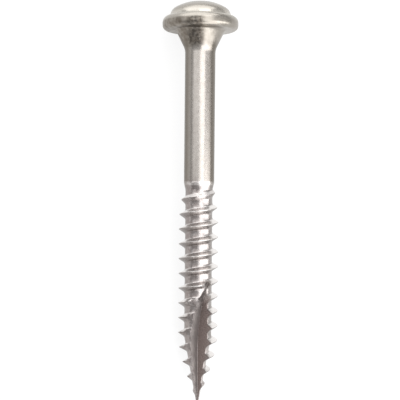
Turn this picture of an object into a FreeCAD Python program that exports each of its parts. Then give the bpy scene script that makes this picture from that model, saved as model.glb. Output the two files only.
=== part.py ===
import FreeCAD, Part
import math
import os

# A pocket hole screw, turned, rolled and fluted from one piece of steel wire, in millimetres.
# It is shaped standing on its tip along +Z and then laid down as it comes to rest.

# Head: a low crown with a square socket, on a flange that bears on the wood
crown_height = 2.35
crown_diameter = 9.65
crown_shoulder_bend = 1.4
flange_diameter = 12.0
flange_thickness = 2.2
flange_bevel = 0.6

# Neck: the cone that carries the flange on the shank
neck_diameter = 7.8
neck_height = 2.9
neck_blend = 2.0

# Square socket for the driver
socket_width = 3.38
socket_corner_round = 0.25
socket_depth = 2.9
socket_point_depth = 0.45
socket_mouth_diameter = 4.9
socket_mouth_depth = 0.3

# Shank, root and point, with lengths along the screw's axis
smooth_length = 24.1
shank_diameter = 4.8
shoulder_length = 1.0
threaded_length = 33.5
root_diameter = 4.28
point_length = 10.2
tip_diameter = 0.4

# Thread: one right-hand ridge with a sharp edge, thin and wide apart for wood, from the shoulder to the tip
thread_diameter = 6.25
thread_pitch = 2.33
head_side_flank = 25.0
tip_side_flank = 32.0
ridge_start_on_shoulder = 0.66
ridge_start_azimuth = 180.0
ridge_start_depth = 0.1
runout_length = 6.5
ridge_end_height = 0.6
ridge_sink = 0.15
point_fullness = 1.5
sections_per_turn = 16

# Flute of the auger point: two walls that meet in a valley along the axis and then run out on an arc
flute_straight_length = 8.0
flute_runout_radius = 26.0
flute_runout_azimuth = -52.0
flute_cutting_wall = 6.0
flute_open_wall = 71.0
flute_clearance = 1.0

# Each ridge is pressed flat, nearly down to the root, where it comes to the flute's open wall
flat_above_root = 0.1
lowest_flat = 3.0
edge_passes = 3

# Lying on the floor, placed as closely as the placing tolerance
placing_tolerance = 0.005

ORIGIN = FreeCAD.Vector(0, 0, 0)
AXIS = FreeCAD.Vector(0, 0, 1)

root_radius = root_diameter / 2
shank_radius = shank_diameter / 2
thread_radius = thread_diameter / 2
tip_radius = tip_diameter / 2
flange_radius = flange_diameter / 2
bearing_radius = flange_radius - flange_bevel
shoulder_top = threaded_length + shoulder_length
under_head = shoulder_top + smooth_length
rim_height = under_head + flange_bevel
flange_top = under_head + flange_thickness
crown_top = flange_top + crown_height
ridge_top = threaded_length + ridge_start_on_shoulder


def outline_point(radius, height):
    return FreeCAD.Vector(radius, 0, height)


def around(radius, azimuth, height):
    """A point at a radius and an azimuth in degrees about the axis, at a height above the tip."""
    turn = math.radians(azimuth)
    return FreeCAD.Vector(radius * math.cos(turn), radius * math.sin(turn), height)


def rounded_path(corners):
    """Edges through corners given as (point, rounding), where each rounding is a tangent arc."""
    edges = []
    start = corners[0][0]
    for index in range(1, len(corners) - 1):
        corner, rounding = corners[index]
        back = (corners[index - 1][0] - corner).normalize()
        ahead = (corners[index + 1][0] - corner).normalize()
        if rounding == 0:
            edges.append(Part.makeLine(start, corner))
            start = corner
            continue
        half_angle = back.getAngle(ahead) / 2
        reach = rounding / math.tan(half_angle)
        arc_start = corner + back * reach
        arc_end = corner + ahead * reach
        middle = (back + ahead).normalize()
        arc_middle = corner + middle * (rounding / math.sin(half_angle) - rounding)
        edges.append(Part.makeLine(start, arc_start))
        edges.append(Part.Arc(arc_start, arc_middle, arc_end).toShape())
        start = arc_end
    edges.append(Part.makeLine(start, corners[-1][0]))
    return edges


def arc_about(centre_radius, centre_height, bend, angles):
    """An arc of the outline about a centre, through three angles in degrees from the flange's plane."""
    points = []
    for angle in angles:
        turn = math.radians(angle)
        points.append(outline_point(
            centre_radius + bend * math.cos(turn), centre_height + bend * math.sin(turn)))
    return Part.Arc(*points).toShape()


def crown_edges():
    """A wide arc over the top and a tight one at the shoulder, which meets the flange upright."""
    shoulder_centre = crown_diameter / 2 - crown_shoulder_bend
    top_bend = (shoulder_centre ** 2 + crown_height ** 2 - crown_shoulder_bend ** 2) / (
        2 * (crown_height - crown_shoulder_bend))
    top_centre = crown_top - top_bend
    meeting = math.degrees(math.atan2(flange_top - top_centre, shoulder_centre))
    over_top = arc_about(0, top_centre, top_bend, (90, (90 + meeting) / 2, meeting))
    shoulder = arc_about(shoulder_centre, flange_top, crown_shoulder_bend, (meeting, meeting / 2, 0))
    return [over_top, shoulder]


def flange_edges():
    """The narrow ledge beside the crown, and the rim with a bevel above and below."""
    corners = [
        outline_point(crown_diameter / 2, flange_top),
        outline_point(bearing_radius, flange_top),
        outline_point(flange_radius, flange_top - flange_bevel),
        outline_point(flange_radius, under_head + flange_bevel),
        outline_point(bearing_radius, under_head),
    ]
    return [Part.makeLine(start, end) for start, end in zip(corners, corners[1:])]


def body():
    """The screw without its thread, flute and socket, turned about the axis."""
    below_flange = rounded_path([
        (outline_point(bearing_radius, under_head), 0),
        (outline_point(neck_diameter / 2, under_head), 0),
        (outline_point(shank_radius, under_head - neck_height), neck_blend),
        (outline_point(shank_radius, shoulder_top), 0),
        (outline_point(root_radius, threaded_length), 0),
        (outline_point(root_radius, point_length), 0),
        (outline_point(tip_radius, 0), 0),
        (ORIGIN, 0),
    ])
    centre_line = Part.makeLine(ORIGIN, outline_point(0, crown_top))
    outline = Part.Wire(crown_edges() + flange_edges() + below_flange + [centre_line])
    return Part.Face(outline).revolve(ORIGIN, AXIS, 360)


def crest_radius(height):
    """Radius of the ridge's edge: full along the middle, less at the run-out and over the point."""
    start = shank_radius - ridge_start_depth
    below_top = ridge_top - height
    if below_top < runout_length:
        return thread_radius - (thread_radius - start) * (1 - below_top / runout_length) ** 2
    if height < point_length:
        return thread_radius * (1 - (1 - height / point_length) ** point_fullness)
    return thread_radius


def core_radius(height):
    """Radius of the body between the ridges."""
    if height >= point_length:
        return root_radius
    return tip_radius + (root_radius - tip_radius) * height / point_length


def ridge_section(turn):
    """Outline of the ridge a number of turns below its top, with its base sunk in the body."""
    height = ridge_top - thread_pitch * turn
    azimuth = ridge_start_azimuth - 360 * turn
    crest = crest_radius(height)
    base = core_radius(height) * (1 - ridge_sink)
    head_side_run = (crest - base) * math.tan(math.radians(head_side_flank))
    tip_side_run = (crest - base) * math.tan(math.radians(tip_side_flank))
    corners = [
        around(base, azimuth, height + head_side_run),
        around(crest, azimuth, height),
        around(base, azimuth, height - tip_side_run),
    ]
    return Part.makePolygon(corners + corners[:1])


def ridge_turns():
    """The ridge as solids of one turn each, which share their end faces."""
    turns = (ridge_top - ridge_end_height) / thread_pitch
    solids = []
    for first in range(math.ceil(turns)):
        span = min(1, turns - first)
        count = max(2, round(span * sections_per_turn))
        sections = [ridge_section(first + span * step / count) for step in range(count + 1)]
        solid = Part.makeLoft(sections, True)
        if solid.Volume < 0:
            solid.reverse()
        solids.append(solid)
    return solids


def flute_wedge():
    """Section of the flute with its valley on the axis, square to the axis and deeper than the thread."""
    reach = thread_radius + flute_clearance
    cutting = flute_runout_azimuth + flute_cutting_wall
    opening = flute_runout_azimuth - flute_open_wall
    far = reach / math.cos(math.radians(cutting - opening) / 2)
    corners = [
        around(0, 0, flute_straight_length),
        around(far, cutting, flute_straight_length),
        around(far, (cutting + opening) / 2, flute_straight_length),
        around(far, opening, flute_straight_length),
    ]
    return Part.Face(Part.makePolygon(corners + corners[:1]))


def flute():
    """The cut that turns the tip into an auger point: straight along the axis, then out on an arc."""
    section = flute_wedge()
    below_tip = AXIS * -(flute_straight_length + flute_clearance)
    straight = section.extrude(below_tip)
    out = around(1, flute_runout_azimuth, 0)
    centre = out * flute_runout_radius + AXIS * flute_straight_length
    clear = thread_radius + flute_clearance
    sweep = math.degrees(math.acos(1 - clear / flute_runout_radius))
    run_out = section.revolve(centre, AXIS.cross(out), sweep)
    return straight.fuse(run_out)


def open_edge(height):
    """Point where the flute's open wall comes out through the root, for heights where the flute is cut."""
    rise = max(height - flute_straight_length, 0)
    valley = flute_runout_radius - math.sqrt(flute_runout_radius ** 2 - rise ** 2)
    wall = math.radians(flute_open_wall)
    reach = math.sqrt(root_radius ** 2 - (valley * math.sin(wall)) ** 2) - valley * math.cos(wall)
    return around(valley, flute_runout_azimuth, height) + around(
        reach, flute_runout_azimuth - flute_open_wall, 0)


def flute_top():
    """Height at which the flute's valley comes out through the root."""
    return flute_straight_length + math.sqrt(flute_runout_radius ** 2 - (flute_runout_radius - root_radius) ** 2)


def pressed_flats():
    """Blocks that flatten the ridges beside the flute, one for each ridge that comes to its open wall."""
    blocks = []
    for turn in range(int(ridge_top / thread_pitch)):
        height = ridge_top - thread_pitch * turn
        for _ in range(edge_passes):
            if not lowest_flat < height < flute_top():
                break
            edge = open_edge(height)
            azimuth = math.degrees(math.atan2(edge.y, edge.x))
            height = ridge_top - thread_pitch * (turn + (ridge_start_azimuth - azimuth) % 360 / 360)
        if lowest_flat < height < flute_top():
            inner = core_radius(height) + flat_above_root
            block = Part.makeBox(
                thread_radius, thread_radius + flute_clearance, thread_pitch,
                FreeCAD.Vector(inner, -thread_radius, height - thread_pitch / 2))
            block.rotate(ORIGIN, AXIS, azimuth)
            blocks.append(block)
    return blocks


def socket():
    """The square hole for the driver, with rounded corners, a bevelled mouth and a drill-pointed end."""
    half = socket_width / 2
    bottom = crown_top - socket_depth
    corner = FreeCAD.Vector(-half, -half, bottom)
    square = Part.makeBox(socket_width, socket_width, socket_depth, corner)
    upright = [edge for edge in square.Edges if edge.BoundBox.ZLength > socket_depth / 2]
    square = square.makeFillet(socket_corner_round, upright)
    end = Part.makeCone(0, half, socket_point_depth, FreeCAD.Vector(0, 0, bottom - socket_point_depth))
    mouth_bottom = FreeCAD.Vector(0, 0, crown_top - socket_mouth_depth)
    mouth_radius = socket_mouth_diameter / 2
    mouth = Part.makeCone(mouth_radius - socket_mouth_depth, mouth_radius, socket_mouth_depth, mouth_bottom)
    return square.fuse([end, mouth])


def standing_screw():
    threaded = body().fuse(ridge_turns()).cut(pressed_flats())
    return threaded.cut(flute()).cut(socket()).removeSplitter().Solids[0]


def resting_tilt(underside):
    """The smallest tilt at which the flange's rim and a crest on the underside's azimuth touch one floor."""
    lowest_first = (ridge_start_azimuth - underside) % 360 / 360
    tilts = []
    for turn in range(int(ridge_top / thread_pitch)):
        height = ridge_top - thread_pitch * (lowest_first + turn)
        if height > ridge_end_height:
            drop = flange_radius - crest_radius(height)
            tilts.append(math.degrees(math.atan2(drop, rim_height - height)))
    return min(tilts)


def lying_height(underside, mass_centre):
    """Height of the centre of mass above the floor, as the screw lies on one azimuth."""
    tilt = math.radians(resting_tilt(underside))
    heavy = mass_centre.dot(around(1, underside, 0))
    return (flange_radius - heavy) * math.cos(tilt) - (rim_height - mass_centre.z) * math.sin(tilt)


def resting_azimuth(shape):
    """The azimuth, to a degree, that comes to rest underneath, with the centre of mass at its lowest."""
    mass_centre = shape.CenterOfMass
    return min(range(360), key=lambda azimuth: lying_height(azimuth, mass_centre))


def laid_down(shape):
    """The shape on its side, head towards +X, on the floor with its box centred over the origin."""
    underside = resting_azimuth(shape)
    lying = shape.copy()
    lying.rotate(ORIGIN, AXIS, -underside)
    lying.rotate(ORIGIN, FreeCAD.Vector(0, 1, 0), 90 - resting_tilt(underside))
    points = lying.tessellate(placing_tolerance)[0]
    box = FreeCAD.BoundBox()
    for point in points:
        box.add(point)
    lying.translate(FreeCAD.Vector(-box.Center.x, -box.Center.y, -box.ZMin))
    return lying


os.makedirs("parts", exist_ok=True)
screw = laid_down(standing_screw())
screw.exportStep("parts/screw.step")
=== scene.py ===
import math

import bmesh
import bpy
from mathutils import Matrix, Vector


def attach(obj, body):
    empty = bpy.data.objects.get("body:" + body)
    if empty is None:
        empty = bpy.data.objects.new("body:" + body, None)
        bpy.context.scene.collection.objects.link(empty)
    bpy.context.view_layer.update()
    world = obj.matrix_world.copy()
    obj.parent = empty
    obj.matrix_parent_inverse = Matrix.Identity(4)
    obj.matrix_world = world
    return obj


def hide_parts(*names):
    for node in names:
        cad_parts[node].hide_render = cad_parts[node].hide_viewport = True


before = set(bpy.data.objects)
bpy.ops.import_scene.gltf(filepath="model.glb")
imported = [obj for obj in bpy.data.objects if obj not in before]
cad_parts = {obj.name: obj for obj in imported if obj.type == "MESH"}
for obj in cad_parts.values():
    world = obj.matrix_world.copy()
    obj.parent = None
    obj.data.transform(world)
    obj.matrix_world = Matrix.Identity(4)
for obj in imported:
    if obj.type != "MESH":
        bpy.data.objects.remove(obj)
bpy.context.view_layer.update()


# Threaded end
# The lower 33.5 mm of the wire, rolled between dies into a thin, steep right-hand ridge for wood. The ridge
# fades in at the shoulder and follows the root down to the point.
# Lengths are in millimetres, with the screw standing on its tip along +Z until it is laid down.
root_radius = 2.14
shank_radius = 2.4
thread_radius = 3.125
tip_radius = 0.2
threaded_length = 33.5
shoulder_top = 34.5
point_length = 10.2
pitch = 2.33
crest_flat = 0.1
crest_rounding = 0.04
root_rounding = 0.24
head_side_flank = math.radians(25)
tip_side_flank = math.radians(32)
ridge_top = 34.16
ridge_start_radius = 2.3
runout_length = 6.5
point_fullness = 1.5
grid_top = 35.6
steps_per_turn = 96
weld_distance = 0.001
cut_tolerance = 0.0001
AXIS = Vector((0, 0, 1))
ORIGIN = Vector((0, 0, 0))


def chain(mesh, corners):
    """A chain of edges through corners given as (radius, height), in the plane of the axis."""
    verts = [mesh.verts.new((radius, 0, height)) for radius, height in corners]
    for start, end in zip(verts, verts[1:]):
        mesh.edges.new((start, end))
    return verts


def round_corners(mesh, verts, amount, segments):
    bmesh.ops.bevel(mesh, geom=verts, offset=amount, offset_type="OFFSET", affect="VERTICES",
                    segments=segments, profile=0.5, material=-1)


def crest_radius(height):
    """Radius of the ridge's edge: less where it fades in under the shoulder and over the point."""
    below_top = ridge_top - height
    if below_top < runout_length:
        share = 1 - below_top / runout_length
        return thread_radius - (thread_radius - ridge_start_radius) * share ** 2
    if height < point_length:
        share = 1 - max(height, 0) / point_length
        return thread_radius * (1 - share ** point_fullness)
    return thread_radius


def core_radius(height):
    """Radius of the wire under the ridge, from the tip over the root and the shoulder to the shank."""
    if height > threaded_length:
        share = min((height - threaded_length) / (shoulder_top - threaded_length), 1)
        return root_radius + (shank_radius - root_radius) * share
    share = min(max(height / point_length, 0), 1)
    return tip_radius + (root_radius - tip_radius) * share


# Where a ridge comes to the flute's open wall it is pressed flat, nearly down to the root
flute_straight = 8.0
flute_bend = 26.0
flute_azimuth = math.radians(-52)
cutting_wall = math.radians(6)
open_wall = math.radians(71)
flat_above_root = 0.1
lowest_flat = 3.0
least_cosine = 0.1


def valley_radius(height):
    """Distance of the flute's valley from the axis."""
    rise = max(height - flute_straight, 0)
    if rise >= flute_bend:
        return flute_bend
    return flute_bend - math.sqrt(flute_bend ** 2 - rise ** 2)


def open_edge_azimuth(height):
    """Azimuth at which the flute's open wall comes out through the root."""
    valley = valley_radius(height)
    if valley >= root_radius:
        return None
    reach = math.sqrt(root_radius ** 2 - (valley * math.sin(open_wall)) ** 2) - valley * math.cos(open_wall)
    across = valley * math.cos(flute_azimuth) + reach * math.cos(flute_azimuth - open_wall)
    along = valley * math.sin(flute_azimuth) + reach * math.sin(flute_azimuth - open_wall)
    return math.atan2(along, across)


def flat_limit(azimuth, height):
    """Radius that the flat beside the flute leaves of a ridge, or its whole radius elsewhere."""
    edge = open_edge_azimuth(height)
    if edge is None or height < lowest_flat:
        return thread_radius
    before_edge = (edge - azimuth) % math.tau
    if before_edge > math.pi / 2:
        return thread_radius
    flat = min(core_radius(height), root_radius) + flat_above_root
    return flat / max(math.cos(before_edge), least_cosine)


def roll_ridge(vert):
    """Moves a point of the full thread to where the run-out, the point or a flat leaves it."""
    full = math.hypot(vert.co.x, vert.co.y)
    share = (full - root_radius) / (thread_radius - root_radius)
    height = vert.co.z
    core = core_radius(height)
    base = min(core, root_radius)
    ridge = base + share * (crest_radius(height) - base)
    radius = max(core, min(ridge, flat_limit(math.atan2(vert.co.y, vert.co.x), height)))
    vert.co.x *= radius / full
    vert.co.y *= radius / full


screw_mesh = bmesh.new()
ridge_height = thread_radius - root_radius
head_side = crest_flat / 2 + ridge_height * math.tan(head_side_flank)
tip_side = crest_flat / 2 + ridge_height * math.tan(tip_side_flank)
turns_down = math.ceil(ridge_top / pitch)
middle = ridge_top - pitch * (turns_down + 0.5)
one_pitch = chain(screw_mesh, [
    (root_radius, middle - pitch / 2),
    (root_radius, middle - tip_side),
    (thread_radius, middle - crest_flat / 2),
    (thread_radius, middle + crest_flat / 2),
    (root_radius, middle + head_side),
    (root_radius, middle + pitch / 2),
])
round_corners(screw_mesh, [one_pitch[1], one_pitch[4]], root_rounding, segments=4)
round_corners(screw_mesh, [one_pitch[2], one_pitch[3]], crest_rounding, segments=2)
bmesh.ops.spin(screw_mesh, geom=screw_mesh.verts[:] + screw_mesh.edges[:], angle=math.tau,
               steps=steps_per_turn, axis=AXIS, cent=ORIGIN, dvec=AXIS * (pitch / steps_per_turn))
first_turn = screw_mesh.verts[:] + screw_mesh.edges[:] + screw_mesh.faces[:]
for turn in range(1, math.ceil((grid_top - middle) / pitch) + 1):
    copied = bmesh.ops.duplicate(screw_mesh, geom=first_turn)["geom"]
    bmesh.ops.translate(screw_mesh, vec=AXIS * pitch * turn,
                        verts=[item for item in copied if isinstance(item, bmesh.types.BMVert)])
bmesh.ops.remove_doubles(screw_mesh, verts=screw_mesh.verts[:], dist=weld_distance)


def cut_across(height, take_above=False, take_below=False):
    """Cuts the mesh square to the axis, and takes away what is above or below the cut where asked."""
    bmesh.ops.bisect_plane(screw_mesh, geom=screw_mesh.verts[:] + screw_mesh.edges[:] + screw_mesh.faces[:],
                           dist=cut_tolerance, plane_co=(0, 0, height), plane_no=AXIS,
                           clear_outer=take_above, clear_inner=take_below)


for level in (threaded_length, shoulder_top, point_length):
    cut_across(level)
cut_across(grid_top, take_above=True)
cut_across(0, take_below=True)
for vert in screw_mesh.verts:
    roll_ridge(vert)
tip_rim = [edge for edge in screw_mesh.edges if edge.is_boundary and edge.verts[0].co.z < shoulder_top]
bmesh.ops.edgeloop_fill(screw_mesh, edges=tip_rim)


# Shank and head
# The smooth wire above the thread, and the head that is upset from it cold: a neck cone, a flange that
# bears on the wood and a low crown, all turned about the axis.
under_head = 58.6
neck_height = 3.0
neck_radius = 3.9
neck_blend = 0.6
neck_foot_rounding = 0.35
straight_under_neck = 8.0
flange_radius = 6.0
flange_thickness = 2.2
rim_upper_rounding = 1.0
rim_lower_rounding = 0.75
crown_radius = 4.825
crown_height = 2.43
crown_shoulder = 1.55
neck_foot = under_head - neck_height
flange_top = under_head + flange_thickness
crown_top = flange_top + crown_height


def swing(mesh, vert, centre_radius, centre_height, angle, steps):
    """Extends a chain from its last vertex by an arc about a centre, and returns the new last vertex."""
    swept = bmesh.ops.spin(mesh, geom=[vert], angle=angle, steps=steps, axis=(0, -1, 0),
                           cent=(centre_radius, 0, centre_height), dvec=ORIGIN)
    return [item for item in swept["geom_last"] if isinstance(item, bmesh.types.BMVert)][0]


head_mesh = bmesh.new()
corners = chain(head_mesh, [
    (shank_radius, grid_top),
    (shank_radius, neck_foot - straight_under_neck),
    (shank_radius, neck_foot),
    (neck_radius, under_head),
    (flange_radius, under_head),
    (flange_radius, flange_top),
    (crown_radius, flange_top),
])
round_corners(head_mesh, [corners[2]], neck_blend, segments=6)
round_corners(head_mesh, [corners[3]], neck_foot_rounding, segments=4)
round_corners(head_mesh, [corners[4]], rim_lower_rounding, segments=8)
round_corners(head_mesh, [corners[5]], rim_upper_rounding, segments=8)

# The crown is a small arc at its shoulder and a wide one over its top, which meet without a corner
shoulder_centre = crown_radius - crown_shoulder
top_bend = (shoulder_centre ** 2 + crown_height ** 2 - crown_shoulder ** 2) / (
    2 * (crown_height - crown_shoulder))
meeting = math.atan2(flange_top - (crown_top - top_bend), shoulder_centre)
crown_corner = swing(head_mesh, corners[6], shoulder_centre, flange_top, meeting, steps=8)
swing(head_mesh, crown_corner, 0, crown_top - top_bend, math.pi / 2 - meeting, steps=10)
bmesh.ops.spin(head_mesh, geom=head_mesh.verts[:] + head_mesh.edges[:], angle=math.tau, steps=steps_per_turn,
               axis=AXIS, cent=ORIGIN, use_merge=True, dvec=ORIGIN)
bmesh.ops.remove_doubles(head_mesh, verts=head_mesh.verts[:], dist=weld_distance)
head_data = bpy.data.meshes.new("head")
head_mesh.to_mesh(head_data)
head_mesh.free()
screw_mesh.from_mesh(head_data)
bpy.data.meshes.remove(head_data)
open_edges = [edge for edge in screw_mesh.edges if edge.is_boundary]
bmesh.ops.bridge_loops(screw_mesh, edges=open_edges)
bmesh.ops.recalc_face_normals(screw_mesh, faces=screw_mesh.faces[:])


# Flute and socket cuts
# The flute is sheared out of the point, straight along the axis and then out on an arc. The square socket
# is punched into the crown, with a bevelled mouth and a pointed end. Both are cut from the turned body.
cutter_clearance = 1.0
valley_rounding = 0.03
flute_bend_steps = 28
socket_width = 3.38
socket_corner = 0.25
socket_depth = 2.9
socket_point = 0.45
mouth_radius = 2.45
pilot_inset = 0.02
pilot_steps = 64


def on_azimuth(azimuth, radius, height=0.0):
    """The point at an azimuth and a radius about the axis."""
    return Vector((radius * math.cos(azimuth), radius * math.sin(azimuth), height))


def finished(mesh, name):
    """Puts a mesh into the scene as an object."""
    data = bpy.data.meshes.new(name)
    mesh.to_mesh(data)
    mesh.free()
    piece = bpy.data.objects.new(name, data)
    bpy.context.scene.collection.objects.link(piece)
    return piece


straight_mesh = bmesh.new()
flute_reach = thread_radius + cutter_clearance
far = flute_reach / math.cos((cutting_wall + open_wall) / 2)
outline = [straight_mesh.verts.new(AXIS * flute_straight)]
for wall in (cutting_wall, (cutting_wall - open_wall) / 2, -open_wall):
    outline.append(straight_mesh.verts.new(on_azimuth(flute_azimuth + wall, far, flute_straight)))
straight_mesh.faces.new(outline)
round_corners(straight_mesh, [outline[0]], valley_rounding, segments=6)
curved_mesh = straight_mesh.copy()
lowered = bmesh.ops.extrude_face_region(straight_mesh, geom=straight_mesh.faces[:])["geom"]
bmesh.ops.translate(straight_mesh, vec=AXIS * -(flute_straight + cutter_clearance),
                    verts=[item for item in lowered if isinstance(item, bmesh.types.BMVert)])
out = on_azimuth(flute_azimuth, 1)
sweep = math.acos(1 - flute_reach / flute_bend)
bmesh.ops.spin(curved_mesh, geom=curved_mesh.faces[:], angle=sweep, steps=flute_bend_steps,
               axis=AXIS.cross(out), cent=out * flute_bend + AXIS * flute_straight, dvec=ORIGIN)
for flute_mesh in (straight_mesh, curved_mesh):
    bmesh.ops.recalc_face_normals(flute_mesh, faces=flute_mesh.faces[:])

square_mesh = bmesh.new()
square_length = socket_depth + cutter_clearance
square_middle = crown_top + (cutter_clearance - socket_depth) / 2
bmesh.ops.create_cube(square_mesh, size=1)
bmesh.ops.scale(square_mesh, vec=(socket_width, socket_width, square_length), verts=square_mesh.verts[:])
bmesh.ops.translate(square_mesh, vec=(0, 0, square_middle), verts=square_mesh.verts[:])
upright = [edge for edge in square_mesh.edges if edge.verts[0].co.z != edge.verts[1].co.z]
bmesh.ops.bevel(square_mesh, geom=upright, offset=socket_corner, offset_type="OFFSET", affect="EDGES",
                segments=4, profile=0.5, material=-1)

round_mesh = bmesh.new()
pilot_radius = socket_width / 2 - pilot_inset
chain(round_mesh, [
    (0, crown_top - socket_depth - socket_point),
    (pilot_radius, crown_top - socket_depth),
    (pilot_radius, crown_top - (mouth_radius - pilot_radius)),
    (mouth_radius + cutter_clearance, crown_top + cutter_clearance),
    (0, crown_top + cutter_clearance),
])
bmesh.ops.spin(round_mesh, geom=round_mesh.verts[:] + round_mesh.edges[:], angle=math.tau, steps=pilot_steps,
               axis=AXIS, cent=ORIGIN, use_merge=True, dvec=ORIGIN)
bmesh.ops.remove_doubles(round_mesh, verts=round_mesh.verts[:], dist=weld_distance)
bmesh.ops.recalc_face_normals(round_mesh, faces=round_mesh.faces[:])

cutters = [
    finished(straight_mesh, "straight_cutter"),
    finished(curved_mesh, "curved_cutter"),
    finished(square_mesh, "square_cutter"),
    finished(round_mesh, "round_cutter"),
]
turned = finished(screw_mesh, "turned_screw")
for cutter in cutters:
    cut = turned.modifiers.new(cutter.name, "BOOLEAN")
    cut.operation = "DIFFERENCE"
    cut.object = cutter
    cut.solver = "EXACT"
bpy.context.view_layer.update()
whole = bpy.data.meshes.new_from_object(turned.evaluated_get(bpy.context.evaluated_depsgraph_get()))
for helper in [turned] + cutters:
    bpy.data.objects.remove(helper)


# Laying down
# The finished screw lies as it comes to rest: on its flange and the lowest crest of its thread, turned so
# that its centre of mass is lowest.
millimetre = 0.001
resting_tilt = math.radians(3.370763)
underside_azimuth = math.radians(107)
tip_place = Vector((-31.43172, 0, 2.50881))
sharp_edge = math.radians(38)
laid = (Matrix.Scale(millimetre, 4) @ Matrix.Translation(tip_place)
        @ Matrix.Rotation(math.pi / 2 - resting_tilt, 4, "Y") @ Matrix.Rotation(-underside_azimuth, 4, "Z"))
whole.transform(laid)
whole.name = "pocket_screw"
whole.shade_smooth()
whole.set_sharp_from_angle(angle=sharp_edge)
pocket_screw = bpy.data.objects.new("pocket_screw", whole)
bpy.context.scene.collection.objects.link(pocket_screw)


# Zinc plating
# Bright zinc over cold-formed steel: a satin grey, warmer on the wire and the head, with streaks along the
# wire, brown stains and black mottles, and crests worn bright. Painted highlights on the crown's foot, the
# shoulder and the flanks that face the head, and painted shade along the wire's two sides, on the left of
# the thread, on the flanks that face the tip, on the flute's cutting wall and on the left of the head's
# stains. Each of these marks is a share from 0 to 1, worked out in the screw's own millimetres, by which its
# colour is laid over the ones before it.
# Painted light among these colours: painted highlights for the crown's foot, the shoulder and the head-side
# flanks; painted shade for the wire's sides, the thread's left side, the tip-side flanks and the flute's
# cutting wall; the stain brown is stain made heavier on one side by painted shade.
wire_grey = (0.43, 0.40, 0.355, 1)
head_grey = (0.40, 0.373, 0.333, 1)
stain_and_shade_brown = (0.15, 0.125, 0.10, 1)
mottle_black = (0.08, 0.07, 0.06, 1)
streak_grey = (0.30, 0.27, 0.25, 1)
worn_crest = (0.72, 0.70, 0.68, 1)
painted_highlight_crown_foot = (0.54, 0.51, 0.46, 1)
painted_highlight_shoulder = (0.85, 0.81, 0.79, 1)
painted_shade_wire = (0.14, 0.12, 0.095, 1)
painted_shade_brown = (0.24, 0.195, 0.185, 1)
painted_highlight_flank = (0.88, 0.85, 0.83, 1)
painted_shade_flank = (0.22, 0.20, 0.19, 1)
painted_shade_wall = (0.20, 0.172, 0.165, 1)
open_wall_grey = (0.46, 0.42, 0.405, 1)
flute_end = 16.0

zinc = bpy.data.materials.new("zinc_plated_steel")
zinc.use_nodes = True
tree = zinc.node_tree
shader = tree.nodes["Principled BSDF"]
shader.inputs["Metallic"].default_value = 1.0
coordinates = tree.nodes.new("ShaderNodeTexCoord")
standing = tree.nodes.new("ShaderNodeMapping")
standing.vector_type = "TEXTURE"
standing.inputs["Location"].default_value = laid.to_translation()
standing.inputs["Rotation"].default_value = laid.to_euler()
standing.inputs["Scale"].default_value = laid.to_scale()
tree.links.new(coordinates.outputs["Object"], standing.inputs["Vector"])
in_screw = standing.outputs["Vector"]


def noise(scale, detail, along=1.0):
    """Noise in the screw's own millimetres, drawn out along its axis where along is small."""
    stretch = tree.nodes.new("ShaderNodeMapping")
    stretch.inputs["Scale"].default_value = (1, 1, along)
    tree.links.new(in_screw, stretch.inputs["Vector"])
    texture = tree.nodes.new("ShaderNodeTexNoise")
    texture.inputs["Scale"].default_value = scale
    texture.inputs["Detail"].default_value = detail
    tree.links.new(stretch.outputs["Vector"], texture.inputs["Vector"])
    return texture.outputs["Fac"]


def spread(value, low, high, to_low=0.0, to_high=1.0):
    """Maps a value from one range to another and holds it at the ends."""
    mapped = tree.nodes.new("ShaderNodeMapRange")
    mapped.inputs["From Min"].default_value = low
    mapped.inputs["From Max"].default_value = high
    mapped.inputs["To Min"].default_value = to_low
    mapped.inputs["To Max"].default_value = to_high
    tree.links.new(value, mapped.inputs["Value"])
    return mapped.outputs["Result"]


def combined(material_tree, operation, first, second):
    """Joins two values of a material by an operation of the Math node."""
    node = material_tree.nodes.new("ShaderNodeMath")
    node.operation = operation
    material_tree.links.new(first, node.inputs[0])
    material_tree.links.new(second, node.inputs[1])
    return node.outputs["Value"]


def product(first, *others):
    for other in others:
        first = combined(tree, "MULTIPLY", first, other)
    return first


def between(value, low, high, fade_in, fade_out):
    """1 from one level to another and 0 outside them, with a fade across each."""
    above_low = spread(value, low - fade_in / 2, low + fade_in / 2)
    below_high = spread(value, high + fade_out / 2, high - fade_out / 2)
    return product(above_low, below_high)


def reach_along(vector, way):
    """How far a vector reaches in a given way."""
    node = tree.nodes.new("ShaderNodeVectorMath")
    node.operation = "DOT_PRODUCT"
    node.inputs[1].default_value = way
    tree.links.new(vector, node.inputs[0])
    return node.outputs["Value"]


def coat(share, below, colour):
    """Lays a colour over the colour below by a share from 0 to 1."""
    mix = tree.nodes.new("ShaderNodeMixRGB")
    mix.inputs["Color2"].default_value = colour
    tree.links.new(share, mix.inputs["Fac"])
    tree.links.new(below, mix.inputs["Color1"])
    return mix.outputs["Color"]


parts = tree.nodes.new("ShaderNodeSeparateXYZ")
tree.links.new(in_screw, parts.inputs["Vector"])
sideways = parts.outputs["X"]
height = parts.outputs["Z"]
flattened = tree.nodes.new("ShaderNodeVectorMath")
flattened.operation = "MULTIPLY"
flattened.inputs[1].default_value = (1, 1, 0)
tree.links.new(in_screw, flattened.inputs[0])
from_axis = tree.nodes.new("ShaderNodeVectorMath")
from_axis.operation = "LENGTH"
tree.links.new(flattened.outputs["Vector"], from_axis.inputs[0])
surface = tree.nodes.new("ShaderNodeNewGeometry")
on_thread = spread(height, shoulder_top + 1.5, shoulder_top - 0.5)
at_flute = spread(height, flute_end + 0.5, flute_end - 0.5)

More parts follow.
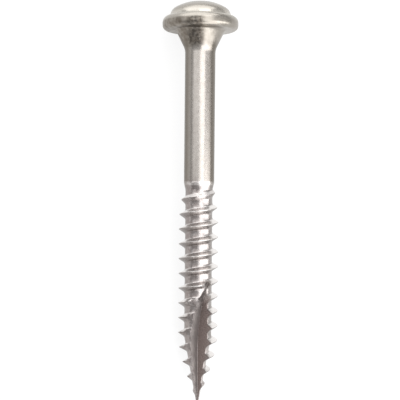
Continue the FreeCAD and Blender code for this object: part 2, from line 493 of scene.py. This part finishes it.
# The plain zinc, warmer on the wire and the head than on the rolled thread
tint = tree.nodes.new("ShaderNodeValToRGB")
dark_end, light_end = tint.color_ramp.elements
dark_end.position = 0.3
dark_end.color = (0.38, 0.345, 0.335, 1)
light_end.position = 0.7
light_end.color = (0.52, 0.49, 0.48, 1)
tree.links.new(noise(scale=1.6, detail=5), tint.inputs["Fac"])
above_thread = spread(height, shoulder_top, shoulder_top + 0.5, 0.0, 0.5)
colour = coat(above_thread, tint.outputs["Color"], wire_grey)
on_head = spread(height, neck_foot - 0.6, neck_foot + 1.4)
colour = coat(on_head, colour, head_grey)

# Heading left brown stains on neck and flange, made heavier on the left side by painted shade, and black
# mottles among them, a little left of the middle
upset = between(height, neck_foot + 0.4, flange_top - 0.9, fade_in=0.8, fade_out=0.3)
painted_shade_left = spread(sideways, 0.9, 0.0, 0.35, 1.0)
stain_and_shade = product(upset, painted_shade_left, spread(noise(scale=1.3, detail=6), 0.38, 0.6, 0.45, 0.9))
colour = coat(stain_and_shade, colour, stain_and_shade_brown)
mottle_band = between(sideways, -2.0, 0.35, fade_in=0.8, fade_out=0.7)
black_mottles = product(upset, mottle_band, spread(noise(scale=2.2, detail=6), 0.42, 0.56, 0.1, 0.85))
colour = coat(black_mottles, colour, mottle_black)

# Drawing left streaks along the wire, and the crests are rubbed bright; the crown's foot and the shoulder
# get a painted highlight
streak = spread(noise(scale=3.0, detail=3, along=0.05), 0.5, 0.75, 0.0, 0.3)
colour = coat(streak, colour, streak_grey)
near_crest = spread(from_axis.outputs["Value"], 2.55, 3.05)
crest_wear = product(near_crest, on_thread, spread(noise(scale=2.0, detail=4), 0.35, 0.6, 0.4, 1.0))
colour = coat(crest_wear, colour, worn_crest)
crown_foot_highlight = between(height, flange_top - 0.3, flange_top + 0.55, fade_in=0.4, fade_out=0.5)
colour = coat(crown_foot_highlight, colour, painted_highlight_crown_foot)
shoulder_highlight = between(height, threaded_length + 0.6, shoulder_top + 0.2, fade_in=0.2, fade_out=0.2)
colour = coat(shoulder_highlight, colour, painted_highlight_shoulder)

# Painted shade along two sides of the wire, half as much on the thread and not on the head
below_head = product(spread(height, threaded_length - 0.5, shoulder_top + 0.5, 0.5, 1.0),
                     spread(height, neck_foot + 1.4, neck_foot + 0.4))
painted_shade_sides = product(below_head, spread(product(sideways, sideways), 0.67, 4.3, 0.0, 0.85))
colour = coat(painted_shade_sides, colour, painted_shade_wire)

# Painted shade, broken up by noise, on the left side of the thread; a painted highlight on the flanks that
# face the head and painted shade on those that face the tip
shaded_side = spread(sideways, 0.0, -0.4)
thread_side_shade = product(on_thread, shaded_side, spread(noise(scale=2.6, detail=6), 0.36, 0.62, 0.1, 0.65))
colour = coat(thread_side_shade, colour, painted_shade_brown)
to_head = laid.to_3x3() @ AXIS / laid.to_scale().z
facing_head = reach_along(surface.outputs["Normal"], to_head)
flank_highlight = product(on_thread, spread(facing_head, 0.3, 0.8, 0.0, 0.9))
colour = coat(flank_highlight, colour, painted_highlight_flank)
flank_shade = product(on_thread, spread(facing_head, -0.3, -0.8, 0.0, 0.7))
colour = coat(flank_shade, colour, painted_shade_flank)

# Painted shade on the flute's cutting wall, and its open wall a plain, rougher grey
cutting_azimuth = flute_azimuth + cutting_wall
across_wall = reach_along(in_screw, on_azimuth(cutting_azimuth + math.pi / 2, 1))
out_along_wall = reach_along(in_screw, on_azimuth(cutting_azimuth, 1))
near_wall = between(across_wall, -0.3, 0.085, fade_in=0.2, fade_out=0.07)
wall_shade = product(near_wall, spread(out_along_wall, 0.0, 0.1), at_flute)
colour = coat(wall_shade, colour, painted_shade_wall)
open_way = on_azimuth(flute_azimuth - open_wall + math.pi / 2, 1)
facing_open = reach_along(surface.outputs["Normal"], (laid.to_3x3() @ open_way).normalized())
out_to_open = reach_along(in_screw, open_way)
open_side = product(spread(facing_open, 0.80, 0.9), spread(out_to_open, 1.9, 1.7), at_flute)
colour = coat(open_side, colour, open_wall_grey)
tree.links.new(colour, shader.inputs["Base Color"])

# The satin is rougher in the stains with their painted shade and on the open wall, over fine grain and
# drawing marks
grain = noise(scale=5.0, detail=4)
satin = combined(tree, "ADD", spread(grain, 0.3, 0.7, 0.24, 0.33), spread(stain_and_shade, 0.0, 1.0, 0.0, 0.15))
rough = combined(tree, "ADD", satin, spread(open_side, 0.0, 1.0, 0.0, 0.2))
tree.links.new(rough, shader.inputs["Roughness"])
relief = tree.nodes.new("ShaderNodeBump")
relief.inputs["Strength"].default_value = 0.35
relief.inputs["Distance"].default_value = 0.02 * millimetre
drawing_marks = noise(scale=6.0, detail=3, along=0.06)
tree.links.new(combined(tree, "ADD", grain, drawing_marks), relief.inputs["Height"])
tree.links.new(relief.outputs["Normal"], shader.inputs["Normal"])
whole.materials.clear()
whole.materials.append(zinc)
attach(pocket_screw, "root")
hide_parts("screw")


# Floor
# A white table top: it shows nearly plain white to the camera and in the metal, and keeps a soft shadow.
table_half_width = 2
table_white = (0.9, 0.9, 0.9, 1)
plain_white_share = 0.85

floor_mesh = bmesh.new()
bmesh.ops.create_grid(floor_mesh, x_segments=1, y_segments=1, size=table_half_width)
floor = finished(floor_mesh, "floor")
white = bpy.data.materials.new("white_table")
white.use_nodes = True
floor_tree = white.node_tree
paint = floor_tree.nodes["Principled BSDF"]
paint.inputs["Base Color"].default_value = table_white
paint.inputs["Roughness"].default_value = 0.9
paint.inputs["Specular IOR Level"].default_value = 0.1
glow = floor_tree.nodes.new("ShaderNodeEmission")
rays = floor_tree.nodes.new("ShaderNodeLightPath")
seen = combined(floor_tree, "MAXIMUM", rays.outputs["Is Camera Ray"], rays.outputs["Is Glossy Ray"])
seen = combined(floor_tree, "MAXIMUM", seen, rays.outputs["Is Transmission Ray"])
white_share = floor_tree.nodes.new("ShaderNodeMath")
white_share.operation = "MULTIPLY"
white_share.inputs[1].default_value = plain_white_share
floor_tree.links.new(seen, white_share.inputs[0])
table = floor_tree.nodes.new("ShaderNodeMixShader")
floor_tree.links.new(white_share.outputs["Value"], table.inputs["Fac"])
floor_tree.links.new(paint.outputs["BSDF"], table.inputs[1])
floor_tree.links.new(glow.outputs["Emission"], table.inputs[2])
floor_tree.links.new(table.outputs["Shader"], floor_tree.nodes["Material Output"].inputs["Surface"])
floor.data.materials.append(white)


# Camera
# It looks square at the middle of the screw from 165 mm, a little to the side of straight above it.
picture_middle = Vector((0.17, 0, 31.8))
camera_distance = 0.165
lean = math.radians(0.53)

head_way = (laid.to_3x3() @ AXIS).normalized()
to_camera = (laid.to_3x3() @ Vector((0, -1, 0))).normalized()
image_right = (laid.to_3x3() @ Vector((1, 0, 0))).normalized()
aim = laid @ picture_middle
camera_data = bpy.data.cameras.new("camera")
camera_data.sensor_width = 36
camera_data.lens = 93.85
camera_data.clip_start = 0.01
camera = bpy.data.objects.new("camera", camera_data)
square_view = Matrix((image_right, head_way, to_camera)).transposed()
camera_turn = square_view.to_4x4() @ Matrix.Rotation(lean, 4, "Z")
camera.matrix_world = Matrix.Translation(aim + to_camera * camera_distance) @ camera_turn
bpy.context.scene.collection.objects.link(camera)
bpy.context.scene.camera = camera


# Lamps
# Soft boxes around the camera, as in a product photograph, at a plain level: two on the right for shank and
# thread, a weak one on the left, a wide one past the head, and three low on the right for the thread, the
# tip and the shank.
def soft_box(name, azimuth, rise, distance, width, length, radiance):
    """A lamp at an azimuth from the camera towards its right and a rise towards the head, in degrees."""
    azimuth = math.radians(azimuth)
    rise = math.radians(rise)
    side = to_camera * math.cos(azimuth) + image_right * math.sin(azimuth)
    away = side * math.cos(rise) + head_way * math.sin(rise)
    along = head_way * math.cos(rise) - side * math.sin(rise)
    turn = Matrix((along.cross(away), along, away)).transposed()
    lamp_data = bpy.data.lights.new(name, "AREA")
    lamp_data.shape = "RECTANGLE"
    lamp_data.size = width
    lamp_data.size_y = length
    lamp_data.energy = radiance * width * length * math.pi
    lamp = bpy.data.objects.new(name, lamp_data)
    lamp.matrix_world = Matrix.Translation(aim + away * distance) @ turn.to_4x4()
    bpy.context.scene.collection.objects.link(lamp)


soft_box("key", azimuth=18, rise=17, distance=0.27, width=0.20, length=0.17, radiance=2.1)
soft_box("thread_key", azimuth=29, rise=-17, distance=0.27, width=0.20, length=0.17, radiance=2.4)
soft_box("fill", azimuth=-31, rise=15, distance=0.30, width=0.27, length=0.16, radiance=0.95)
soft_box("head_light", azimuth=-12, rise=62, distance=0.28, width=0.50, length=0.32, radiance=1.6)
soft_box("thread_light", azimuth=70, rise=-14, distance=0.26, width=0.22, length=0.17, radiance=3.0)
soft_box("tip_light", azimuth=52, rise=-62, distance=0.28, width=0.22, length=0.27, radiance=2.8)
soft_box("side_light", azimuth=70, rise=20, distance=0.30, width=0.20, length=0.16, radiance=0.25)
room = bpy.data.worlds.new("room")
room.use_nodes = True
room.node_tree.nodes["Background"].inputs["Color"].default_value = (0.5, 0.5, 0.5, 1)
room.node_tree.nodes["Background"].inputs["Strength"].default_value = 1
bpy.context.scene.world = room
bpy.context.scene.view_settings.view_transform = "Standard"
